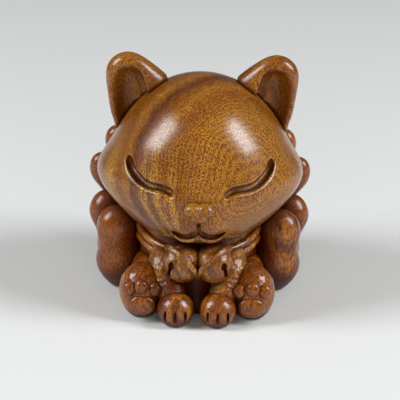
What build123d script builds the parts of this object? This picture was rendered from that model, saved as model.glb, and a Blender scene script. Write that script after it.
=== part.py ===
from build123d import *
import math
import os

# A palm-sized fox with nine tails, carved in one hardwood and oiled.
# +Z is up, the fox looks along -Y, and its own left side is +X. The origin
# lies on the ground under the middle of the figure. All sizes are millimetres.

# Head: a broad dome with pointed cheeks over a short muzzle.
head_width = 48.4
head_height = 38.0
head_front = 21.0
head_back = 19.5
head_lift = 16.6
head_set_forward = 2.0
muzzle_reach = 2.4

# Nose: a small rounded bump above the mouth.
nose_width = 6.6
nose_height = 4.8
nose_thickness = 4.0

# Eyes and mouth: shallow grooves cut into the face.
eye_groove_width = 2.1
mouth_groove_width = 1.1
lip_groove_depth = 0.9

# Ears: rounded triangles hollowed from the front.
ear_width = 16.5
ear_height = 24.5
ear_thickness = 9.0
ear_lift = 34.2
ear_inner_edge = 5.8
ear_set_back = 1.0
ear_rim_width = 4.2
ear_hollow_depth = 5.0

# Torso: a round, slightly tapered barrel that carries the head.
torso_diameter = 30.0
neck_diameter = 27.0
torso_height = 24.0
torso_set_forward = 1.0

# Collar: two turns of cord round the neck, and two bells under the chin.
collar_lift = 18.1
collar_tilt = 11.5
cord_diameter = 1.8
cord_pitch = 1.9
cord_stand = 0.45
bell_diameter = 8.8
bell_rim_diameter = 10.6
bell_rim_thickness = 1.0
bell_spacing = 7.3
bell_lift = 14.3
bell_stand = 3.6
bell_slot_width = 1.1
bell_slot_depth = 1.4
bell_hole_diameter = 1.8
bell_hole_turn = 50.0

# Forelegs and forepaws.
shoulder_spacing = 19.0
shoulder_lift = 15.8
shoulder_reach = 10.8
foreleg_width = 7.4
foreleg_thickness = 7.0
paw_diameter = 8.3
paw_spacing = 9.8
paw_stand = 5.0
claw_groove_width = 0.9
claw_groove_length = 2.6
claw_groove_depth = 0.7

# Hind legs: short thighs, and feet that show their soles.
foot_width = 10.6
foot_height = 13.4
foot_thickness = 9.8
foot_spacing = 25.6
thigh_width = 12.0
thigh_height = 13.0
sole_pad_rise = 0.9
toe_pad_width = 2.5
toe_pad_height = 2.8
heel_pad_width = 5.6
heel_pad_height = 4.4

# Tails: a fan of nine round the back, all rising from one root.
fan_width = 54.4
fan_height = 40.0
fan_depth = 25.0
tail_width = 14.0
tail_thickness = 11.0
root_width = 18.0
root_height = 15.0
root_depth = 14.0
root_inset = 3.0

# Ground cut: everything stands on one flat plane.
ground_sink = 0.5
ground_depth = 12.0
ground_size = 90.0

# Places that follow from those sizes: the feet sit level with the torso's front, the paws before it.
torso_front = torso_set_forward + torso_diameter / 2
foot_reach = torso_front
paw_reach = torso_front + paw_stand

# Shares that give each outline its shape.
# Head sections from the chin up: height, half width, front, back, muzzle.
HEAD_SECTION_SHARES = (
    (0.03, 0.34, 0.46, 0.40, 0.0),
    (0.09, 0.59, 0.80, 0.62, 0.45),
    (0.165, 0.76, 0.91, 0.76, 1.0),
    (0.27, 0.91, 0.975, 0.90, 1.0),
    (0.41, 1.0, 1.0, 0.98, 0.75),
    (0.54, 0.90, 0.985, 1.0, 0.15),
    (0.67, 0.785, 0.925, 0.95, 0.0),
    (0.79, 0.65, 0.80, 0.82, 0.0),
    (0.90, 0.475, 0.595, 0.60, 0.0),
    (0.965, 0.285, 0.36, 0.36, 0.0),
    (0.99, 0.15, 0.19, 0.19, 0.0),
    (1.0, 0.045, 0.055, 0.055, 0.0),
)
# Points round a head section: turn from the front, muzzle.
HEAD_PLAN_SHARES = ((0.15, 0.5), (0.33, 0.0), (0.5, 0.0), (0.70, 0.0), (0.85, 0.0))
# Ear sections from inside the head up: height, inner edge, outer edge, thickness.
EAR_SECTION_SHARES = (
    (0.16, 0.02, 0.87, 1.0),
    (0.40, 0.02, 0.92, 1.0),
    (0.60, 0.04, 0.97, 0.92),
    (0.76, 0.14, 1.0, 0.80),
    (0.86, 0.31, 0.985, 0.67),
    (0.94, 0.47, 0.91, 0.50),
    (0.985, 0.60, 0.80, 0.27),
)
# Hollow of an ear: its two ends in ear widths and heights, and its girth on the way.
EAR_HOLLOW_LINE_SHARES = ((0.70, 0.08), (0.72, 0.93))
EAR_HOLLOW_SHARES = ((0.06, 0.30), (0.22, 0.68), (0.46, 0.95), (0.70, 1.0), (0.87, 0.82), (0.96, 0.46))
# Eye and mouth lines seen from the front: half head widths and head heights.
EYE_LINE_SHARES = (
    (0.669, 0.587), (0.661, 0.541), (0.61, 0.505), (0.533, 0.474), (0.446, 0.463), (0.37, 0.463),
    (0.30, 0.455), (0.246, 0.434),
)
MOUTH_LINE_SHARES = ((0.05, 0.205), (0.085, 0.18), (0.125, 0.168), (0.17, 0.165), (0.21, 0.172), (0.24, 0.187))
LIP_SHARES = (0.31, 0.25, 0.20)
NOSE_LIFT_SHARE = 0.345
# Direction each bell looks: out, forward, down.
BELL_LOOK_SHARES = (0.66, 0.42, 0.64)
# Direction its slot runs from its lowest point to the hole: out, forward, down.
BELL_SLOT_SHARES = (0.18, 0.72, -0.68)
# Girth of a leg from its top to its foot.
LEG_SHARES = ((0.04, 0.40), (0.20, 0.78), (0.42, 1.0), (0.66, 0.90), (0.88, 0.76), (0.98, 0.42))
CLAW_TURN_SHARES = (-0.62, 0.0, 0.62)
# Pads of a sole: across, up, in half foot widths and foot heights.
TOE_PAD_SHARES = ((-0.56, 0.63), (0.02, 0.70), (0.54, 0.64))
HEEL_PAD_SHARES = (-0.02, 0.36)
THIGH_SHARES = (0.55, 0.45, 0.95)
# Girth of a tail from its root to its tip.
TAIL_SHARES = (
    (0.03, 0.34), (0.14, 0.66), (0.30, 0.93), (0.45, 1.0), (0.57, 0.95), (0.69, 0.70), (0.80, 0.72),
    (0.88, 0.69), (0.95, 0.50), (0.99, 0.23),
)
# Tail routes from root to tip: half fan widths, fan depths, fan heights. Then girth.
TAIL_ROUTE_SHARES = {
    "front": (((0.20, 0.24, 0.10), (0.59, 0.06, 0.12), (0.685, -0.06, 0.27), (0.69, -0.06, 0.535)), 1.0),
    "low": (((0.22, 0.40, 0.12), (0.60, 0.22, 0.14), (0.74, 0.22, 0.31), (0.885, 0.22, 0.54)), 0.90),
    "middle": (((0.16, 0.50, 0.14), (0.54, 0.52, 0.34), (0.72, 0.48, 0.52), (0.93, 0.38, 0.74)), 0.80),
    "high": (((0.10, 0.52, 0.18), (0.32, 0.70, 0.42), (0.55, 0.68, 0.66), (0.81, 0.54, 0.87)), 0.88),
}
TAIL_CENTRE_ROUTE_SHARES = (((0.0, 0.50, 0.12), (0.0, 0.80, 0.36), (0.0, 0.86, 0.66), (0.0, 0.74, 0.97)), 0.94)


def ellipsoid(width, depth, height):
    return scale(Sphere(1), by=(width / 2, depth / 2, height / 2))


def above_ground(form):
    """Cut a form flat where it meets the ground."""
    return form - Pos(0, 0, -ground_depth / 2) * Box(ground_size, ground_size, ground_depth)


def left_half(form):
    """Keep what lies on the fox's own left side."""
    return form & Pos(ground_size / 2, 0, 0) * Box(ground_size, ground_size, 2 * ground_size)


def cut_by(form, *neighbours):
    for neighbour in neighbours:
        form = form - neighbour
    return Part() + max(form.solids(), key=lambda solid: solid.volume)


def section_plane(spine, share, facing):
    """The plane square to a spine, with its x axis as near to facing as it can be."""
    along = spine % share
    sideways = facing - along * facing.dot(along)
    return Plane(origin=spine @ share, x_dir=sideways, z_dir=along)


def spindle(spine, thickness, width, shares, facing):
    """A body that swells and tapers along a spine and closes on a point at each end."""
    rings = [
        section_plane(spine, place, facing) * Ellipse(thickness * girth / 2, width * girth / 2)
        for place, girth in shares
    ]
    return loft([Vertex(*(spine @ 0)), *rings, Vertex(*(spine @ 1))])


def head_outline(half_width, front, back, reach):
    """A closed outline seen from above, with its front point pushed out by reach."""
    left = []
    for turn, muzzle in HEAD_PLAN_SHARES:
        angle = math.pi * turn
        depth = front if turn < 0.5 else back
        left.append((half_width * math.sin(angle), -depth * math.cos(angle) - reach * muzzle))
    right = [(-x, y) for x, y in reversed(left)]
    return make_face(Spline((0, back), *right, (0, -front - reach), *left, periodic=True))


def head_form():
    rings = []
    for height, width, front, back, muzzle in HEAD_SECTION_SHARES:
        outline = head_outline(
            head_width / 2 * width, head_front * front, head_back * back, muzzle_reach * muzzle
        )
        rings.append(Pos(0, -head_set_forward, head_lift + head_height * height) * outline)
    return loft(rings)


def face_point(head, across, up):
    """The point of the face straight behind a place in the front view."""
    ray = Axis((across, -fan_width, head_lift + head_height * up), (0, 1, 0))
    return min((point for point, _ in head.find_intersection_points(ray)), key=lambda p: p.Y)


def face_groove(head, shares, width):
    """A round cutter that follows the face along a line."""
    line = Spline(*[face_point(head, head_width / 2 * across, up) for across, up in shares])
    start = Plane(origin=line @ 0, z_dir=line % 0)
    return sweep(start * Circle(width / 2), path=line)


def lip_groove(head):
    """The short groove between the nose and the middle of the mouth."""
    upper, middle, lower = [face_point(head, 0, up) for up in LIP_SHARES]
    seat = Plane(origin=middle, x_dir=(1, 0, 0), z_dir=upper - lower)
    return seat * ellipsoid(mouth_groove_width, lip_groove_depth * 2, (upper - lower).length)


def ear_form():
    rings = []
    for height, inner, outer, thickness in EAR_SECTION_SHARES:
        width = ear_width * (outer - inner)
        across = ear_inner_edge + ear_width * (outer + inner) / 2
        rings.append(
            Pos(across, ear_set_back, ear_lift + ear_height * height)
            * Ellipse(width / 2, ear_thickness * thickness / 2)
        )
    tip = Pos(0, 0, ear_lift + ear_height).position + Vector(across, ear_set_back, 0)
    return loft([*rings, Vertex(*tip)])


def ear_hollow():
    """A leaf-shaped cutter that opens an ear to the front and leaves a rim each side."""
    width = ear_width - 2 * ear_rim_width
    front = ear_set_back - ear_thickness / 2
    ends = [
        Vector(ear_inner_edge + ear_width * across, front, ear_lift + ear_height * up)
        for across, up in EAR_HOLLOW_LINE_SHARES
    ]
    return spindle(Line(*ends), ear_hollow_depth * 2, width, EAR_HOLLOW_SHARES, Vector(0, -1, 0))


def torso_form():
    """The torso, with its seam line turned to the side where no piece is cut."""
    middle = Pos(0, -torso_set_forward, torso_height / 2) * Rot(0, 0, math.degrees(math.pi))
    return middle * Cone(torso_diameter / 2, neck_diameter / 2, torso_height)


def torso_radius(lift):
    """Half the torso's width at a height."""
    return (torso_diameter + (neck_diameter - torso_diameter) * lift / torso_height) / 2


def cord(lift):
    """One turn of cord round the neck, lower in front than behind."""
    middle = Pos(0, -torso_set_forward, lift) * Rot(collar_tilt, 0, 0)
    return middle * Torus(torso_radius(lift) + cord_stand, cord_diameter / 2)


def bell_form():
    """A sleigh bell: a ball, a thin rim, and a slot that runs to a round hole on its front."""
    out, forward, down = BELL_LOOK_SHARES
    look = Vector(out, -forward, -down).normalized()
    out, forward, down = BELL_SLOT_SHARES
    along = Vector(out, -forward, -down)
    reach = torso_set_forward + torso_radius(bell_lift) + bell_stand
    seat = Plane(origin=(bell_spacing / 2, -reach, bell_lift), x_dir=along - look * along.dot(look), z_dir=look)
    ball = Sphere(bell_diameter / 2)
    rim = Cylinder(bell_rim_diameter / 2, bell_rim_thickness)
    surface = Pos(0, 0, bell_diameter / 2)
    hole = Rot(0, bell_hole_turn, 0) * surface * Cylinder(bell_hole_diameter / 2, bell_slot_depth * 2)
    slot_length = bell_diameter * math.sin(math.radians(bell_hole_turn / 2))
    slot = Rot(0, bell_hole_turn / 2, 0) * surface * Box(slot_length, bell_slot_width, bell_slot_depth * 2)
    return seat * (ball + rim - hole - slot)


def foreleg_form():
    shoulder = Vector(shoulder_spacing / 2, -shoulder_reach, shoulder_lift)
    wrist = Vector(paw_spacing / 2, -paw_reach, paw_diameter / 2 - ground_sink)
    return spindle(Line(shoulder, wrist), foreleg_thickness, foreleg_width, LEG_SHARES, Vector(0, -1, 0))


def forepaw_form():
    middle = Pos(paw_spacing / 2, -paw_reach, paw_diameter / 2 - ground_sink)
    claw = Pos(0, -paw_diameter / 2, 0) * ellipsoid(claw_groove_width, claw_groove_depth * 2, claw_groove_length)
    cutters = [middle * Rot(0, 0, math.degrees(turn)) * claw for turn in CLAW_TURN_SHARES]
    return middle * Sphere(paw_diameter / 2) - cutters


def foot_form():
    middle = Pos(foot_spacing / 2, -foot_reach, foot_height / 2 - ground_sink)
    return middle * ellipsoid(foot_width, foot_thickness, foot_height)


def sole_pad(across_share, up_share, width, height):
    """A low pad that stands on the sole of a hind foot."""
    across = foot_width / 2 * across_share
    up = foot_height * (up_share - 0.5)
    fall = 1 - (2 * across / foot_width) ** 2 - (2 * up / foot_height) ** 2
    sole = foot_thickness / 2 * math.sqrt(fall)
    centre = Pos(foot_spacing / 2 + across, -foot_reach - sole, foot_height / 2 - ground_sink + up)
    return centre * ellipsoid(width, sole_pad_rise * 2, height)


def thigh_form():
    across, back, lift = THIGH_SHARES
    hip = Vector(foot_spacing / 2 * across, foot_thickness * back, thigh_height / 2 * lift)
    heel = Vector(foot_spacing / 2, -foot_reach, foot_height / 2)
    return spindle(Line(hip, heel), thigh_height, thigh_width, LEG_SHARES, Vector(0, 0, 1))


def tail_form(route, girth):
    points = [
        Vector(fan_width / 2 * across, fan_depth * back, fan_height * up) for across, back, up in route
    ]
    return spindle(
        Spline(*points), tail_thickness * girth, tail_width * girth, TAIL_SHARES, Vector(0, -1, 0)
    )


# Large forms first; every smaller piece is cut to sit against them.
head = head_form()
torso_whole = torso_form()
torso = cut_by(torso_whole, head)
nose_seat = face_point(head, 0, NOSE_LIFT_SHARE)
nose = cut_by(Pos(*nose_seat) * ellipsoid(nose_width, nose_thickness, nose_height), head)
ear_left = cut_by(ear_form() - ear_hollow(), head)

eye_groove = face_groove(head, EYE_LINE_SHARES, eye_groove_width)
mouth_groove = face_groove(head, MOUTH_LINE_SHARES, mouth_groove_width)
face_grooves = [eye_groove, mouth_groove]
face_grooves += [mirror(groove, about=Plane.YZ) for groove in face_grooves]
face = head - [*face_grooves, lip_groove(head)]

collar_upper = cord(collar_lift)
collar_lower = cut_by(cord(collar_lift - cord_pitch), head, torso_whole)
collar_upper = cut_by(collar_upper, head, torso_whole, collar_lower)
bell_left = cut_by(left_half(bell_form()), torso_whole, head, collar_upper, collar_lower)

forepaw_left = cut_by(above_ground(forepaw_form()), torso_whole)
foreleg_left = cut_by(left_half(foreleg_form()), torso_whole, forepaw_left, head, bell_left, collar_upper, collar_lower)
foot_whole = cut_by(above_ground(foot_form()), torso_whole, forepaw_left, foreleg_left)
thigh_left = cut_by(above_ground(thigh_form()), torso_whole, foot_whole, foreleg_left, forepaw_left)
pads_left = [sole_pad(*place, toe_pad_width, toe_pad_height) for place in TOE_PAD_SHARES]
pads_left.append(sole_pad(*HEEL_PAD_SHARES, heel_pad_width, heel_pad_height))
pads_left = [cut_by(pad, foot_whole, foreleg_left, forepaw_left) for pad in pads_left]

root_reach = torso_diameter / 2 - torso_set_forward - root_inset
root_form = Pos(0, root_reach, root_height / 2) * ellipsoid(root_width, root_depth, root_height)
tail_root = cut_by(above_ground(root_form), torso_whole)

tails_left = {}
placed = [torso_whole, tail_root, thigh_left, foot_whole, head, collar_lower, collar_upper]
for name, (route, girth) in TAIL_ROUTE_SHARES.items():
    tail = cut_by(above_ground(left_half(tail_form(route, girth))), *placed)
    tails_left[name] = tail
    placed.append(tail)
centre_route, centre_girth = TAIL_CENTRE_ROUTE_SHARES
tail_centre = cut_by(
    above_ground(tail_form(centre_route, centre_girth)), torso_whole, tail_root, head, collar_lower,
    collar_upper, tails_left["high"], mirror(tails_left["high"], about=Plane.YZ),
)

pieces = {
    "head": face,
    "nose": nose,
    "torso": torso,
    "collar_upper": collar_upper,
    "collar_lower": collar_lower,
    "tail_root": tail_root,
    "tail_centre": tail_centre,
}
pairs = {
    "ear": ear_left,
    "bell": bell_left,
    "foreleg": foreleg_left,
    "forepaw": forepaw_left,
    "thigh": thigh_left,
    "hind_foot": foot_whole,
    "hind_pads": Part() + pads_left,
}
for name, tail in tails_left.items():
    pairs["tail_" + name] = tail
for name, part in pairs.items():
    pieces[name + "_left"] = part
    pieces[name + "_right"] = mirror(part, about=Plane.YZ)

# The middle of the whole figure, front to back, goes to the origin.
boxes = [part.bounding_box() for part in pieces.values()]
middle = (min(box.min.Y for box in boxes) + max(box.max.Y for box in boxes)) / 2

os.makedirs("parts", exist_ok=True)
for name, part in pieces.items():
    export_step(Pos(0, -middle, 0) * part, f"parts/{name}.step")
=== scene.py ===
import math
import bmesh
import bpy
from mathutils import Matrix, Vector


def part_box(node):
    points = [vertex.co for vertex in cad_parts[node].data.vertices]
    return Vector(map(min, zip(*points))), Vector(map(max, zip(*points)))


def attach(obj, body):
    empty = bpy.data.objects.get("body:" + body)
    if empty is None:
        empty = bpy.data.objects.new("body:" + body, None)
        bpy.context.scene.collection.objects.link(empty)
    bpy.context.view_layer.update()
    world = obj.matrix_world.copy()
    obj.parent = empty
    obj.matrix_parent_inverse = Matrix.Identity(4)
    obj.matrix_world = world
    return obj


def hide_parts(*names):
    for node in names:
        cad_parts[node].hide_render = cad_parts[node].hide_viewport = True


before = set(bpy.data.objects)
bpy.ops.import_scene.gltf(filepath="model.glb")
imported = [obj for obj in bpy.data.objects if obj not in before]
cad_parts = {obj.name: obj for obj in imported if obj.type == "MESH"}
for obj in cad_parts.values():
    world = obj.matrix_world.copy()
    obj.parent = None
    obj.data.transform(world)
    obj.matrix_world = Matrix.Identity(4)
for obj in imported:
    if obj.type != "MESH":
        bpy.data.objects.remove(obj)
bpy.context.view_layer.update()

# The view: a long lens stands straight in front of the fox and a little above it,
# turned by a hair as a camera held by hand is. Sizes are metres throughout.
VIEW_HEIGHT = 0.030
VIEW_DISTANCE = 0.474
VIEW_ELEVATION = math.radians(21.5)
VIEW_ROLL = math.radians(1.4)
VIEW_LENS = 180
VIEW_SHIFT_UP = -0.07175

bpy.ops.object.select_all(action="DESELECT")
bpy.ops.object.camera_add(location=(
    0,
    -VIEW_DISTANCE * math.cos(VIEW_ELEVATION),
    VIEW_HEIGHT + VIEW_DISTANCE * math.sin(VIEW_ELEVATION),
))
camera = bpy.context.object
looking = Matrix.Rotation(math.pi / 2 - VIEW_ELEVATION, 4, "X") @ Matrix.Rotation(VIEW_ROLL, 4, "Z")
camera.rotation_euler = looking.to_euler()
camera.data.lens = VIEW_LENS
camera.data.shift_y = VIEW_SHIFT_UP
camera.data.dof.use_dof = False
bpy.context.scene.camera = camera
bpy.context.scene.view_settings.view_transform = "Standard"

# The floor: a plain pale sheet, faintly clouded. It shows its own colour to the eye and
# in the gloss, and throws a warmer and deeper light back at the wood.
FLOOR_SIZE = 4.0
FLOOR_DROP = 0.00002
FLOOR_PALE = (0.79, 0.775, 0.75, 1)
FLOOR_PALER = (0.82, 0.805, 0.78, 1)
FLOOR_BOUNCE = (0.32, 0.23, 0.15, 1)
FLOOR_ROUGHNESS = 0.7
FLOOR_CLOUD_SCALE = 3.0
# The sockets of a colour mix: its factor and its two colours, and its result.
MIX_INPUTS = (0, 6, 7)
MIX_RESULT = 2


def node(tree, kind, inputs=(), links=(), **settings):
    """A node in a tree with its own values set and its inputs joined."""
    made = tree.nodes.new(kind)
    for name, value in settings.items():
        setattr(made, name, value)
    for key, value in inputs:
        made.inputs[key].default_value = value
    for key, socket in links:
        tree.links.new(socket, made.inputs[key])
    return made


def ramp(tree, source, steps):
    """A colour ramp with its steps given as place and colour."""
    made = node(tree, "ShaderNodeValToRGB", links=[("Fac", source)])
    elements = made.color_ramp.elements
    while len(elements) < len(steps):
        elements.new(1)
    for element, (place, colour) in zip(elements, steps):
        element.position = place
        element.color = colour
    return made.outputs["Color"]


def reckon(tree, operation, first, second):
    """A sum on two values, each a socket or a number."""
    made = node(tree, "ShaderNodeMath", operation=operation)
    for socket, value in zip(made.inputs, (first, second)):
        if isinstance(value, (int, float)):
            socket.default_value = value
        else:
            tree.links.new(value, socket)
    return made.outputs["Value"]


def blend(tree, kind, factor, first, second):
    """A mix of two colours, each a socket or a value."""
    made = node(tree, "ShaderNodeMix", data_type="RGBA", blend_type=kind, clamp_result=True)
    for key, value in zip(MIX_INPUTS, (factor, first, second)):
        if hasattr(value, "is_linked"):
            tree.links.new(value, made.inputs[key])
        else:
            made.inputs[key].default_value = value
    return made.outputs[MIX_RESULT]


bpy.ops.object.select_all(action="DESELECT")
bpy.ops.mesh.primitive_plane_add(size=FLOOR_SIZE, location=(0, 0, -FLOOR_DROP))
floor = bpy.context.object
floor.name = "floor"
paint = bpy.data.materials.new("pale floor")
paint.use_nodes = True
paint_tree = paint.node_tree
paint_shader = paint_tree.nodes["Principled BSDF"]
paint_shader.inputs["Roughness"].default_value = FLOOR_ROUGHNESS
paint_place = node(paint_tree, "ShaderNodeTexCoord").outputs["Object"]
paint_clouds = node(
    paint_tree, "ShaderNodeTexNoise", [("Scale", FLOOR_CLOUD_SCALE)], [("Vector", paint_place)]
).outputs["Fac"]
paint_tint = ramp(paint_tree, paint_clouds, ((0, FLOOR_PALE), (1, FLOOR_PALER)))
rays = node(paint_tree, "ShaderNodeLightPath")
floor_shown = rays.outputs["Is Camera Ray"]
for ray in ("Is Glossy Ray", "Is Transmission Ray"):
    floor_shown = reckon(paint_tree, "MAXIMUM", floor_shown, rays.outputs[ray])
paint_colour = blend(paint_tree, "MIX", floor_shown, FLOOR_BOUNCE, paint_tint)
paint_tree.links.new(paint_colour, paint_shader.inputs["Base Color"])
floor.data.materials.append(paint)

# The light: one tall soft box at each side of the face and above it, a weak wide one in
# front, and a faint even light all round.
AROUND_COLOUR = (1.0, 0.93, 0.85, 1)
AROUND_STRENGTH = 0.13
SOFT_BOX_TARGET = Vector((0, 0, 0.035))
SIDE_BOX_COLOUR = (0.89, 0.955, 1.0)
FRONT_BOX_COLOUR = (1.0, 0.97, 0.92)
# Each box: turn from the front, lift, distance, width, height, watts, colour, seen in the gloss.
SOFT_BOXES = (
    (-74, 36, 0.75, 0.29, 0.44, 4.6, SIDE_BOX_COLOUR, True),
    (75, 35, 0.75, 0.28, 0.44, 5.0, SIDE_BOX_COLOUR, True),
    (2, 14, 0.95, 0.80, 0.60, 3.0, FRONT_BOX_COLOUR, False),
)

studio = bpy.data.worlds.new("studio")
studio.use_nodes = True
studio_light = studio.node_tree.nodes["Background"]
studio_light.inputs["Color"].default_value = AROUND_COLOUR
studio_light.inputs["Strength"].default_value = AROUND_STRENGTH
bpy.context.scene.world = studio

for turn, lift, distance, width, height, watts, colour, glossy in SOFT_BOXES:
    turned = math.radians(turn)
    raised = math.radians(lift)
    outward = Vector((
        math.sin(turned) * math.cos(raised),
        -math.cos(turned) * math.cos(raised),
        math.sin(raised),
    ))
    bpy.ops.object.light_add(type="AREA", location=SOFT_BOX_TARGET + outward * distance)
    soft_box = bpy.context.object
    soft_box.rotation_euler = (-outward).to_track_quat("-Z", "Y").to_euler()
    soft_box.data.shape = "RECTANGLE"
    soft_box.data.size = width
    soft_box.data.size_y = height
    soft_box.data.energy = watts
    soft_box.data.color = colour
    soft_box.visible_glossy = glossy

# The head: one broad dome of dense, oiled and waxed hardwood, carved from the block with
# two low pads over the mouth and a rolled lower lip. The closed eyes and the smile are
# gouged grooves with their edges rubbed round.
MM = 0.001
HEAD_FIRST_VOXEL = 0.378 * MM
HEAD_VOXEL = 0.30 * MM
HEAD_FIRST_ROUNDS = 2
HEAD_ROUNDS = 3
MOUTH_PAD_SIZE = Vector((3.2, 2.0, 2.9)) * MM
MOUTH_PAD_ACROSS = 2.9 * MM
MOUTH_PAD_LIFT = 26.4 * MM
MOUTH_PAD_SINK = 1.45 * MM
# Lines on the front view are places across and up, in millimetres, each with its girth.
EYE_LINE = (
    (16.2, 39.1), (16.05, 37.3), (14.8, 35.75), (12.9, 34.45),
    (10.8, 34.0), (8.95, 34.0), (7.3, 33.7), (5.8, 32.9),
)
EYE_GIRTHS = (0.55, 0.85, 1.0, 1.0, 0.95, 0.9, 0.8, 0.5)
EYE_CUTTER = 1.0 * MM
EYE_SINK = 0.25 * MM
MOUTH_LINE = (
    (0.15, 25.3), (0.8, 24.0), (1.9, 23.1), (3.1, 22.75), (4.3, 22.95), (5.3, 23.4), (5.9, 23.9),
)
MOUTH_GIRTHS = (0.7, 0.95, 1.0, 1.0, 1.0, 0.85, 0.45)
MOUTH_CUTTER = 0.78 * MM
MOUTH_SINK = 0.35 * MM
LIP_LINE = ((0.0, 27.9), (0.0, 26.6), (0.0, 25.2))
LIP_GIRTHS = (0.5, 0.9, 0.8)
LIP_CUTTER = 0.68 * MM
UNDERLIP_LINE = ((0.0, 23.1), (0.9, 22.6), (2.0, 21.95), (3.2, 21.65), (4.5, 21.95), (5.5, 22.6))
UNDERLIP_GIRTHS = (1.0, 1.0, 1.0, 1.0, 0.8, 0.4)
UNDERLIP_ROLL = 0.75 * MM
JOINING_GAP = 0.001 * MM
BALL_SEGMENTS = 32
BALL_RINGS = 20
FAR_IN_FRONT = -60 * MM
STRAIGHT_BACK = Vector((0, 1, 0))
GOUGE_ROUNDNESS = 5
GOUGE_SMOOTHNESS = 10
GOUGE_TRIES = 6
GOUGE_NUDGE = 0.01 * MM
GOUGE_LEAST_SHARE = 0.85
HEAL_VOXEL = 0.25 * MM
RUB_SHARE = 0.5


def pick(piece):
    """Leave one object selected and active."""
    bpy.ops.object.select_all(action="DESELECT")
    piece.select_set(True)
    bpy.context.view_layer.objects.active = piece


def free_copy(cad_node, name):
    """A node's solid as a new mesh, with its loose corners joined."""
    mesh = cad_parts[cad_node].data.copy()
    mesh.materials.clear()
    piece = bpy.data.objects.new(name, mesh)
    bpy.context.collection.objects.link(piece)
    pick(piece)
    bpy.ops.object.mode_set(mode="EDIT")
    bpy.ops.mesh.select_all(action="SELECT")
    bpy.ops.mesh.remove_doubles(threshold=JOINING_GAP)
    bpy.ops.object.mode_set(mode="OBJECT")
    return piece


def finish_with(piece, kind, **settings):
    """Add a modifier with its settings and apply it."""
    pick(piece)
    modifier = piece.modifiers.new(kind.lower(), kind)
    for name, value in settings.items():
        setattr(modifier, name, value)
    bpy.ops.object.modifier_apply(modifier=modifier.name)


def recut(piece, voxel):
    """Close the mesh again in even, fine faces."""
    finish_with(piece, "REMESH", mode="VOXEL", voxel_size=voxel)


def rub(piece, rounds, swell=0.0):
    """Rub the edges round, and let the piece swell a hair into its neighbours."""
    finish_with(piece, "SMOOTH", factor=RUB_SHARE, iterations=rounds)
    if swell:
        finish_with(piece, "DISPLACE", strength=swell, mid_level=0)
    bpy.ops.object.shade_smooth()


def add_ball(place, size):
    """An egg at a place, as a start for a rounded form."""
    bpy.ops.object.select_all(action="DESELECT")
    bpy.ops.mesh.primitive_uv_sphere_add(
        segments=BALL_SEGMENTS, ring_count=BALL_RINGS, radius=1, location=place, scale=size
    )
    bpy.ops.object.transform_apply(location=True, rotation=True, scale=True)
    return bpy.context.object


def join(piece, *others):
    """Make several meshes one."""
    pick(piece)
    for other in others:
        other.select_set(True)
    bpy.ops.object.join()


def skin_place(cad_node, across, lift):
    """The point of a node's skin straight behind a place in the front view, in metres."""
    start = Vector((across, FAR_IN_FRONT, lift))
    _, place, _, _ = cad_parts[cad_node].ray_cast(start, STRAIGHT_BACK)
    return place


def follow(cad_node, line, girths, radius, side=1, sink=0.0):
    """A tapering round rod that follows a line on the front of a node, to cut with or to add."""
    path = bpy.data.curves.new("rod", "CURVE")
    path.dimensions = "3D"
    path.bevel_depth = radius
    path.bevel_resolution = GOUGE_ROUNDNESS
    path.resolution_u = GOUGE_SMOOTHNESS
    path.use_fill_caps = True
    spline = path.splines.new("BEZIER")
    spline.bezier_points.add(len(line) - 1)
    for point, (across, lift), girth in zip(spline.bezier_points, line, girths):
        point.co = skin_place(cad_node, side * across * MM, lift * MM) + STRAIGHT_BACK * sink
        point.handle_left_type = "AUTO"
        point.handle_right_type = "AUTO"
        point.radius = girth
    rod = bpy.data.objects.new("rod", path)
    bpy.context.collection.objects.link(rod)
    pick(rod)
    bpy.ops.object.convert(target="MESH")
    return bpy.context.object


def volume_of(mesh):
    """The space that a closed mesh encloses."""
    solid = bmesh.new()
    solid.from_mesh(mesh)
    volume = solid.calc_volume()
    solid.free()
    return volume


def gouge(piece, cutters):
    """Take the cutters out of a piece; where a cut goes wrong, close the mesh afresh and cut again."""
    for cutter in cutters:
        for _ in range(GOUGE_TRIES):
            whole = piece.data.copy()
            before = volume_of(whole)
            finish_with(piece, "BOOLEAN", operation="DIFFERENCE", solver="EXACT", object=cutter)
            if before * GOUGE_LEAST_SHARE < volume_of(piece.data) < before:
                break
            piece.data = whole
            recut(piece, HEAL_VOXEL)
            cutter.location.y += GOUGE_NUDGE
        bpy.data.objects.remove(cutter)


head = free_copy("head", "fox_head")
added = []
for side in (-1, 1):
    skin = skin_place("head", side * MOUTH_PAD_ACROSS, MOUTH_PAD_LIFT)
    added.append(add_ball(skin + STRAIGHT_BACK * MOUTH_PAD_SINK, MOUTH_PAD_SIZE))
    added.append(follow("head", UNDERLIP_LINE, UNDERLIP_GIRTHS, UNDERLIP_ROLL, side))
join(head, *added)
recut(head, HEAD_FIRST_VOXEL)
rub(head, HEAD_FIRST_ROUNDS)
cutters = []
for side in (-1, 1):
    cutters.append(follow("head", EYE_LINE, EYE_GIRTHS, EYE_CUTTER, side, EYE_SINK))
    cutters.append(follow("head", MOUTH_LINE, MOUTH_GIRTHS, MOUTH_CUTTER, side, MOUTH_SINK))
cutters.append(follow("head", LIP_LINE, LIP_GIRTHS, LIP_CUTTER, 1, MOUTH_SINK))
gouge(head, cutters)
recut(head, HEAD_VOXEL)
rub(head, HEAD_ROUNDS)

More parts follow.
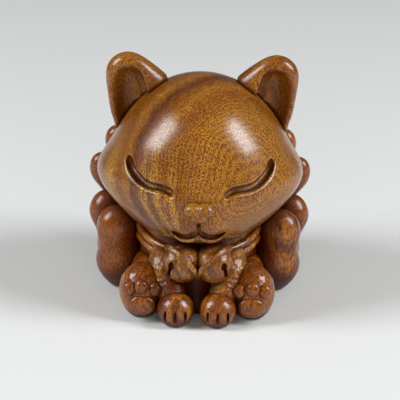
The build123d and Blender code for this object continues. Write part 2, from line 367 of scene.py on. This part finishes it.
# The head's wood, which every other piece shares: growth layers stand upright and face the
# front and the fox's own left, so they show as streaks on its right cheek and as rings on
# its brow. Distances in it are millimetres.
BLACK = (0, 0, 0, 1)
WHITE = (1, 1, 1, 1)
WOOD_DARK = (0.115, 0.022, 0.0008, 1)
WOOD_BROWN = (0.235, 0.068, 0.003, 1)
WOOD_GOLD = (0.345, 0.128, 0.008, 1)
WOOD_STRAW = (0.48, 0.225, 0.028, 1)
# The dark, warm colour of the painted shade in creases.
WOOD_CREASE_SHADE = (0.062, 0.0095, 0.0006, 1)
LAYER_FACING = (0.50, -0.84, 0.20)
LAYER_WARP = (6.0, 6.0, 3.0)
SWIRL_SCALE = 0.045
SWIRL_DETAIL = 2
NOISE_MIDDLE = 0.5
# Each layer by its distance along the facing.
LAYER_REACH = (-34, 40)
LAYERS = (
    (-30, WOOD_BROWN), (-25, WOOD_GOLD), (-21, WOOD_DARK), (-15, WOOD_GOLD), (-9, WOOD_BROWN),
    (-5, WOOD_GOLD), (-1, WOOD_GOLD), (3, WOOD_BROWN), (7, WOOD_STRAW), (10, WOOD_BROWN),
    (12.5, WOOD_GOLD), (14.5, WOOD_DARK), (16.2, WOOD_BROWN), (17.2, WOOD_STRAW),
    (18.2, WOOD_DARK), (19.5, WOOD_STRAW), (20.6, WOOD_BROWN), (21.8, WOOD_STRAW),
    (23, WOOD_BROWN), (25.5, WOOD_GOLD), (29, WOOD_GOLD), (33, WOOD_BROWN),
)
# High on the dome the layers run calmer and wider, and browner, partly as painted shade on the top of the
# dome.
CALM_SHADED_LAYERS = (
    (-30, WOOD_BROWN), (-22, WOOD_GOLD), (-16, WOOD_BROWN), (-10, WOOD_GOLD), (-4, WOOD_BROWN),
    (2, WOOD_GOLD), (6, WOOD_BROWN), (9, WOOD_BROWN), (11.5, WOOD_GOLD), (14.5, WOOD_DARK),
    (17, WOOD_BROWN), (19, WOOD_GOLD), (21, WOOD_BROWN), (25, WOOD_GOLD), (29, WOOD_GOLD),
    (33, WOOD_BROWN),
)
CALM_HEIGHTS = (33, 46)
FIBRE_STRETCH = (0.9, 0.9, 0.07)
FIBRE_DETAIL = 3
FIBRE_ROUGHNESS = 0.6
FIBRE_RAGGEDNESS = 4.0
RING_PITCH = 0.54
RING_SHARE = 0.055
PORE_STRETCH = (4.1, 4.1, 2.8)
PORE_DETAIL = 0.6
# Low on the block the pores run into long upright streaks.
STREAK_STRETCH = (5.4, 5.4, 1.0)
STREAK_DETAIL = 0.8
STREAK_HEIGHTS = (26, 17)
# Where a fleck starts and where it is full, what it does to the wood's colour, and how far.
DARK_FLECK = ((0.51, BLACK), (0.56, WHITE))
DARK_FLECK_TINT = (0.42, 0.21, 0.05, 1)
DARK_FLECK_SHARE = 0.85
LIGHT_FLECK = ((0.42, WHITE), (0.48, BLACK))
LIGHT_FLECK_TINT = (1.48, 1.75, 1.5, 1)
LIGHT_FLECK_SHARE = 0.70
CREASE_CLOSED = (0.10, 0.72)
REDDENED_TINT = (0.78, 0.50, 0.22, 1)
GLOSS_DULLNESS = 0.14
PORE_DULLNESS = 0.22
CREASE_DULLNESS = 0.12
WAX_CREASE_LIMIT = 0.45
WAX_SHARE = 0.68
WAX_ROUGHNESS = 0.24
WAX_IOR = 1.5
WOOD_IOR = 1.36
PORE_DEPTH = -0.10
TOOL_FLAT_SCALE = 1.5
TOOL_FLAT_SOFTNESS = 0.5
BUMP_DEPTH = 0.25 * MM
# How far round a crease the painted shade reaches.
CREASE_SHADE_REACH = 3.2 * MM
CREASE_SAMPLES = 12


def share_of(tree, source, start, end, top=1.0):
    """How far a value has come from a start to an end, as a share of a top."""
    return node(
        tree, "ShaderNodeMapRange", [("From Min", start), ("From Max", end), ("To Max", top)],
        [("Value", source)],
    ).outputs["Result"]


def stretched(tree, place, stretch):
    """A place stretched along each axis."""
    return node(
        tree, "ShaderNodeVectorMath", [(1, stretch)], [(0, place)], operation="MULTIPLY"
    ).outputs[0]


def mottle(tree, place, scale, detail, roughness=0.5):
    """A soft noise, as a node."""
    return node(
        tree, "ShaderNodeTexNoise", [("Scale", scale), ("Detail", detail), ("Roughness", roughness)],
        [("Vector", place)],
    )


grain = bpy.data.node_groups.new("hardwood grain", "ShaderNodeTree")
for name, kind, way in (
    ("Place", "NodeSocketVector", "INPUT"),
    ("Openness", "NodeSocketFloat", "INPUT"),
    ("Redness", "NodeSocketFloat", "INPUT"),
    ("Tool Marks", "NodeSocketFloat", "INPUT"),
    ("Color", "NodeSocketColor", "OUTPUT"),
    ("Roughness", "NodeSocketFloat", "OUTPUT"),
    ("Wax", "NodeSocketFloat", "OUTPUT"),
    ("Height", "NodeSocketFloat", "OUTPUT"),
):
    grain.interface.new_socket(name=name, in_out=way, socket_type=kind)
given = node(grain, "NodeGroupInput")
result = node(grain, "NodeGroupOutput")

# Places in millimetres, bent by a slow swirl so that no layer is quite flat.
in_mm = node(
    grain, "ShaderNodeVectorMath", [("Scale", 1 / MM)], [(0, given.outputs["Place"])], operation="SCALE"
).outputs[0]
swirl = mottle(grain, in_mm, SWIRL_SCALE, SWIRL_DETAIL).outputs["Color"]
centred = node(
    grain, "ShaderNodeVectorMath", [(1, (NOISE_MIDDLE,) * 3)], [(0, swirl)], operation="SUBTRACT"
).outputs[0]
bent = node(
    grain, "ShaderNodeVectorMath", [(1, LAYER_WARP)], [(0, centred), (2, in_mm)], operation="MULTIPLY_ADD"
).outputs[0]
inward = node(
    grain, "ShaderNodeVectorMath", [(1, LAYER_FACING)], [(0, bent)], operation="DOT_PRODUCT"
).outputs["Value"]
upward = node(grain, "ShaderNodeSeparateXYZ", [], [(0, in_mm)]).outputs["Z"]

# Broad layers of dark, brown, gold and straw, with ragged edges that run along the fibres.
fibres = stretched(grain, bent, FIBRE_STRETCH)
ragged = mottle(grain, fibres, 1.0, FIBRE_DETAIL, FIBRE_ROUGHNESS).outputs["Fac"]
ragged = reckon(grain, "SUBTRACT", ragged, NOISE_MIDDLE)
ragged = reckon(grain, "MULTIPLY", ragged, FIBRE_RAGGEDNESS)
layer_place = reckon(grain, "ADD", inward, ragged)
nearest, furthest = LAYER_REACH
layer_share = share_of(grain, layer_place, nearest, furthest)
wood, calm_shaded_wood = [
    ramp(grain, layer_share, [((far - nearest) / (furthest - nearest), colour) for far, colour in layers])
    for layers in (LAYERS, CALM_SHADED_LAYERS)
]
# Higher up the calmer layers take over, browner with painted shade.
wood = blend(grain, "MIX", share_of(grain, upward, *CALM_HEIGHTS), wood, calm_shaded_wood)

# Fine growth rings, broken into dots and dashes by the pores.
ring_turn = reckon(grain, "MULTIPLY", inward, 2 * math.pi / RING_PITCH)
ring = reckon(grain, "SINE", ring_turn, 0.0)
dots = mottle(grain, stretched(grain, bent, PORE_STRETCH), 1.0, PORE_DETAIL).outputs["Fac"]
streaks = mottle(grain, stretched(grain, bent, STREAK_STRETCH), 1.0, STREAK_DETAIL).outputs["Fac"]
streak_share = share_of(grain, upward, *STREAK_HEIGHTS)
pores = node(
    grain, "ShaderNodeMix", [], [(0, streak_share), (2, dots), (3, streaks)], data_type="FLOAT"
).outputs[0]
flecks = reckon(grain, "ADD", pores, reckon(grain, "MULTIPLY", ring, RING_SHARE))
dark_fleck = ramp(grain, flecks, DARK_FLECK)
light_fleck = ramp(grain, flecks, LIGHT_FLECK)
darker = blend(grain, "MULTIPLY", 1.0, wood, DARK_FLECK_TINT)
lighter = blend(grain, "MULTIPLY", 1.0, wood, LIGHT_FLECK_TINT)
dark_share = reckon(grain, "MULTIPLY", dark_fleck, DARK_FLECK_SHARE)
light_share = reckon(grain, "MULTIPLY", light_fleck, LIGHT_FLECK_SHARE)
flecked = blend(grain, "MIX", dark_share, wood, darker)
flecked = blend(grain, "MIX", light_share, flecked, lighter)

# Painted shade: the creases and closed-in places are darkened and warmed, as shade falls there.
closed_in = reckon(grain, "SUBTRACT", 1.0, given.outputs["Openness"])
crease = share_of(grain, closed_in, *CREASE_CLOSED)
crease_shaded = blend(grain, "MIX", crease, flecked, WOOD_CREASE_SHADE)
warm = blend(grain, "MULTIPLY", given.outputs["Redness"], crease_shaded, REDDENED_TINT)
grain.links.new(warm, result.inputs["Color"])

# The polish is a little duller over the pores and where the fingers don't reach, and no
# wax lies deep in a crease.
dull = reckon(grain, "MULTIPLY", pores, PORE_DULLNESS)
dull = reckon(grain, "ADD", dull, reckon(grain, "MULTIPLY", crease, CREASE_DULLNESS))
dull = reckon(grain, "ADD", dull, GLOSS_DULLNESS)
grain.links.new(dull, result.inputs["Roughness"])
grain.links.new(share_of(grain, crease, WAX_CREASE_LIMIT, 0.0, WAX_SHARE), result.inputs["Wax"])

# Pores are shallow; tool marks are the small flats a gouge leaves.
flats = node(
    grain, "ShaderNodeTexVoronoi", [("Scale", TOOL_FLAT_SCALE), ("Smoothness", TOOL_FLAT_SOFTNESS)],
    [("Vector", bent)], feature="SMOOTH_F1",
).outputs["Distance"]
flats = reckon(grain, "MULTIPLY", flats, given.outputs["Tool Marks"])
relief = reckon(grain, "ADD", reckon(grain, "MULTIPLY", dark_fleck, PORE_DEPTH), flats)
grain.links.new(relief, result.inputs["Height"])


def oiled_wood(name, redness, tool_marks, crease_shade_reach):
    """One finish: how red it is, how far tool marks show, how far the painted shade of its creases
    reaches.
    """
    finish = bpy.data.materials.new(name)
    finish.use_nodes = True
    tree = finish.node_tree
    shader = tree.nodes["Principled BSDF"]
    place = node(tree, "ShaderNodeTexCoord").outputs["Object"]
    # The occlusion that drives the painted shade in the creases.
    openness = node(
        tree, "ShaderNodeAmbientOcclusion", [("Distance", crease_shade_reach)], samples=CREASE_SAMPLES
    ).outputs["AO"]
    looks = node(tree, "ShaderNodeGroup", node_tree=grain)
    tree.links.new(place, looks.inputs["Place"])
    tree.links.new(openness, looks.inputs["Openness"])
    looks.inputs["Redness"].default_value = redness
    looks.inputs["Tool Marks"].default_value = tool_marks
    bump = node(
        tree, "ShaderNodeBump", [("Strength", 1.0), ("Distance", BUMP_DEPTH)],
        [("Height", looks.outputs["Height"])],
    )
    tree.links.new(looks.outputs["Color"], shader.inputs["Base Color"])
    tree.links.new(looks.outputs["Roughness"], shader.inputs["Roughness"])
    tree.links.new(looks.outputs["Wax"], shader.inputs["Coat Weight"])
    tree.links.new(bump.outputs["Normal"], shader.inputs["Normal"])
    shader.inputs["Coat Roughness"].default_value = WAX_ROUGHNESS
    shader.inputs["Coat IOR"].default_value = WAX_IOR
    shader.inputs["IOR"].default_value = WOOD_IOR
    return finish


def fit(piece, material, *cad_nodes):
    """Give a finished piece its wood, and let it stand for its CAD nodes."""
    piece.data.materials.clear()
    piece.data.materials.append(material)
    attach(piece, "root")
    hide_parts(*cad_nodes)


polished = oiled_wood("polished hardwood", redness=0.0, tool_marks=0.0, crease_shade_reach=CREASE_SHADE_REACH)
fit(head, polished, "head")

# The nose: a small bean of the same wood with two lobes and a tip, left standing when the
# face was cut back and then polished with it.
NOSE_VOXEL = 0.18 * MM
NOSE_ROUNDS = 6
NOSE_LOBE_SIZE = Vector((2.15, 2.0, 1.75)) * MM
NOSE_LOBE_ACROSS = 1.35 * MM
NOSE_LOBE_RISE = 0.75 * MM
NOSE_TIP_SIZE = Vector((2.1, 1.9, 1.5)) * MM
NOSE_TIP_DROP = 0.85 * MM
NOSE_FORWARD = 0.35 * MM

nose_low, nose_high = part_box("nose")
nose_middle = Vector((0, nose_low.y + NOSE_LOBE_SIZE.y - NOSE_FORWARD, (nose_low.z + nose_high.z) / 2))
lobes = [
    add_ball(nose_middle + Vector((side * NOSE_LOBE_ACROSS, 0, NOSE_LOBE_RISE)), NOSE_LOBE_SIZE)
    for side in (-1, 1)
]
nose = add_ball(nose_middle - Vector((0, 0, NOSE_TIP_DROP)), NOSE_TIP_SIZE)
nose.name = "fox_nose"
join(nose, *lobes)
recut(nose, NOSE_VOXEL)
rub(nose, NOSE_ROUNDS)
fit(nose, polished, "nose")

# The ears: rounded leaves of the same wood, hollowed from the front, with a thick soft rim
# and a deeper pit within. Each one grows out of the side of the dome, and the dome's edge
# closes the foot of its hollow.
EAR_VOXEL = 0.24 * MM
EAR_FIRST_ROUNDS = 14
EAR_ROUNDS = 70
EAR_SWELL = 0.36 * MM
EAR_PIT_LINE = ((16.2, 56.4), (15.0, 53.0), (14.4, 50.4), (14.6, 48.4))
EAR_PIT_GIRTHS = (0.45, 0.85, 1.0, 0.7)
EAR_PIT_CUTTER = 2.3 * MM
EAR_PIT_SINK = -0.9 * MM
EAR_REDNESS = 0.15
# How far round a hollow the painted shade reaches, in the ears, torso and tails.
HOLLOW_SHADE_REACH = 9.0 * MM


def mirrored(piece, name):
    """The same piece on the other side, with a mesh of its own."""
    other = bpy.data.objects.new(name, piece.data.copy())
    bpy.context.collection.objects.link(other)
    pick(other)
    bpy.ops.object.mode_set(mode="EDIT")
    bpy.ops.mesh.select_all(action="SELECT")
    bpy.ops.transform.resize(value=(-1, 1, 1), center_override=(0, 0, 0))
    bpy.ops.mesh.normals_make_consistent(inside=False)
    bpy.ops.object.mode_set(mode="OBJECT")
    return other


def fit_pair(left, material, name):
    """Fit a left piece and its mirror image in place of the two nodes of that name."""
    fit(left, material, name + "_left")
    fit(mirrored(left, "fox_" + name + "_right"), material, name + "_right")


ear = free_copy("ear_left", "fox_ear_left")
recut(ear, EAR_VOXEL)
rub(ear, EAR_FIRST_ROUNDS)
gouge(ear, [follow("ear_left", EAR_PIT_LINE, EAR_PIT_GIRTHS, EAR_PIT_CUTTER, 1, EAR_PIT_SINK)])
recut(ear, EAR_VOXEL)
rub(ear, EAR_ROUNDS, EAR_SWELL)
# Their wood darkens the hollows with a painted shade that reaches far round them.
hollowed = oiled_wood("hollowed hardwood", EAR_REDNESS, 0.0, HOLLOW_SHADE_REACH)
fit_pair(ear, hollowed, "ear")

# The torso: a plain round barrel of the block under the head. Only its chest shows, in
# shadow between the forelegs, and it stands flat on the ground.
TORSO_VOXEL = 0.4 * MM
TORSO_ROUNDS = 4
# How dark and red the torso and tails are: partly their own tone, partly painted shade.
DARK_AND_SHADED_REDNESS = 0.95
GROUND_CUT = 0.005 * MM
GROUND_CUT_FINENESS = 0.0001 * MM


def stand(piece):
    """Cut a piece flat on the ground it stands on."""
    pick(piece)
    bpy.ops.object.mode_set(mode="EDIT")
    bpy.ops.mesh.select_all(action="SELECT")
    bpy.ops.mesh.bisect(
        plane_co=(0, 0, GROUND_CUT), plane_no=(0, 0, 1), clear_inner=True, use_fill=True,
        threshold=GROUND_CUT_FINENESS,
    )
    bpy.ops.object.mode_set(mode="OBJECT")


torso = free_copy("torso", "fox_torso")
recut(torso, TORSO_VOXEL)
rub(torso, TORSO_ROUNDS)
stand(torso)
# A darker, redder copy of the wood with wide painted shade: partly the wood's own deeper tone, partly
# painted shade under and behind the head.
dark_and_shaded = oiled_wood("darkened hardwood", DARK_AND_SHADED_REDNESS, 0.0, HOLLOW_SHADE_REACH)
fit(torso, dark_and_shaded, "torso")

# The collar: two turns of cord carved round the neck, side by side, rubbed smooth and red
# by the polishing.
CORD_VOXEL = 0.2 * MM
CORD_ROUNDS = 4
CORD_SWELL = 0.08 * MM
CORD_REDNESS = 0.6
CORD_TOOL_MARKS = 0.06

rubbed = oiled_wood("rubbed red hardwood", CORD_REDNESS, CORD_TOOL_MARKS, CREASE_SHADE_REACH)
for turn in ("upper", "lower"):
    cord = free_copy("collar_" + turn, "fox_collar_" + turn)
    recut(cord, CORD_VOXEL)
    rub(cord, CORD_ROUNDS, CORD_SWELL)
    fit(cord, rubbed, "collar_" + turn)

# The bells: two sleigh bells carved side by side under the chin, each with a raised rim
# and a slot that ends in a round hole. They keep the flats of the gouge.
BELL_VOXEL = 0.15 * MM
BELL_ROUNDS = 2
BELL_SWELL = 0.08 * MM
BELL_STRETCH = 1.08
BELL_FLATS = 0.12 * MM
FLAT_SIZE = 1.1 * MM
TOOLED_REDNESS = 0.35
TOOLED_MARKS = 0.5


def tool(piece, depth):
    """Leave the small flats of a gouge all over a piece."""
    flats = bpy.data.textures.new("gouge flats", "VORONOI")
    flats.noise_scale = FLAT_SIZE
    finish_with(piece, "DISPLACE", texture=flats, texture_coords="LOCAL", strength=depth, mid_level=0.5)


bell = free_copy("bell_left", "fox_bell_left")
recut(bell, BELL_VOXEL)
rub(bell, BELL_ROUNDS, BELL_SWELL)
pick(bell)
bpy.ops.object.mode_set(mode="EDIT")
bpy.ops.mesh.select_all(action="SELECT")
bell_foot = (0, 0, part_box("bell_left")[0].z)
bpy.ops.transform.resize(value=(1, 1, BELL_STRETCH), center_override=bell_foot)
bpy.ops.object.mode_set(mode="OBJECT")
tool(bell, BELL_FLATS)
tooled = oiled_wood("tooled hardwood", TOOLED_REDNESS, TOOLED_MARKS, CREASE_SHADE_REACH)
fit_pair(bell, tooled, "bell")

# The forelegs: short legs of the same wood, carved from under the collar down to the paws
# and faceted all over by the gouge.
FORELEG_VOXEL = 0.22 * MM
FORELEG_ROUNDS = 6
FORELEG_SWELL = 0.12 * MM
FORELEG_FLATS = 0.24 * MM

foreleg = free_copy("foreleg_left", "fox_foreleg_left")
recut(foreleg, FORELEG_VOXEL)
rub(foreleg, FORELEG_ROUNDS, FORELEG_SWELL)
tool(foreleg, FORELEG_FLATS)
fit_pair(foreleg, tooled, "foreleg")

# The forepaws: round paws cut from the block, each with three claw cuts on its front.
# They are polished, and their wood is darker and redder.
FOREPAW_VOXEL = 0.17 * MM
FOREPAW_ROUNDS = 3
FOREPAW_LAST_ROUNDS = 1
FOREPAW_SWELL = 0.12 * MM
FOREPAW_FLATS = 0.07 * MM
PAW_REDNESS = 0.85
PAW_MARKS = 0.15
# Claws by their place across from the paw's middle, in millimetres. Each goes down through
# these points, a spread of that place and a height, and so they draw apart as they go.
CLAW_ACROSS = (-2.1, 0.05, 2.1)
CLAW_SPREADS = ((0.94, 4.9), (1.0, 3.7), (1.05, 2.5), (1.06, 1.6))
CLAW_GIRTHS = (0.35, 0.9, 1.0, 0.5)
CLAW_CUTTER = 0.44 * MM

forepaw = free_copy("forepaw_left", "fox_forepaw_left")
recut(forepaw, FOREPAW_VOXEL)
rub(forepaw, FOREPAW_ROUNDS, FOREPAW_SWELL)
tool(forepaw, FOREPAW_FLATS)
paw_low, paw_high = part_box("forepaw_left")
paw_middle = (paw_low.x + paw_high.x) / 2 / MM
claws = []
for across in CLAW_ACROSS:
    claw_line = [(paw_middle + across * spread, lift) for spread, lift in CLAW_SPREADS]
    claws.append(follow("forepaw_left", claw_line, CLAW_GIRTHS, CLAW_CUTTER))
gouge(forepaw, claws)
recut(forepaw, FOREPAW_VOXEL)
rub(forepaw, FOREPAW_LAST_ROUNDS)
stand(forepaw)
deep_red = oiled_wood("handled hardwood", PAW_REDNESS, PAW_MARKS, CREASE_SHADE_REACH)
fit_pair(forepaw, deep_red, "forepaw")

# The hind legs: the thighs lie against the torso, and the feet turn their soles to the
# front, with four low pads left proud on each. They are polished as the forepaws are.
# Each part: voxel, rounds of rubbing, swell, depth of the gouge's flats.
HIND_PARTS = {
    "thigh": (0.3 * MM, 8, 0.12 * MM, 0.2 * MM),
    "hind_foot": (0.22 * MM, 6, 0.12 * MM, 0.2 * MM),
    "hind_pads": (0.13 * MM, 3, 0.4 * MM, None),
}

for name, (voxel, rounds, swell, flat_depth) in HIND_PARTS.items():
    part = free_copy(name + "_left", "fox_" + name + "_left")
    recut(part, voxel)
    rub(part, rounds, swell)
    if flat_depth:
        tool(part, flat_depth)
    stand(part)
    fit_pair(part, deep_red, name)

# The tails: nine plump plumes fan out behind the head from one low root, all of the same
# block. Each swells low down, draws in at a waist and ends in a rounded bulb.
TAIL_VOXEL = 0.33 * MM
TAIL_ROUNDS = 10
TAIL_SWELL = 0.12 * MM


def plume(cad_node):
    """A tail with its edges rubbed round, cut flat where it stands on the ground."""
    tail = free_copy(cad_node, "fox_" + cad_node)
    recut(tail, TAIL_VOXEL)
    rub(tail, TAIL_ROUNDS, TAIL_SWELL)
    stand(tail)
    return tail


# The tails take the same darker copy: partly the wood's own tone, partly painted shade behind the head.
for name in ("tail_front", "tail_low", "tail_middle", "tail_high"):
    fit_pair(plume(name + "_left"), dark_and_shaded, name)
for name in ("tail_centre", "tail_root"):
    fit(plume(name), dark_and_shaded, name)
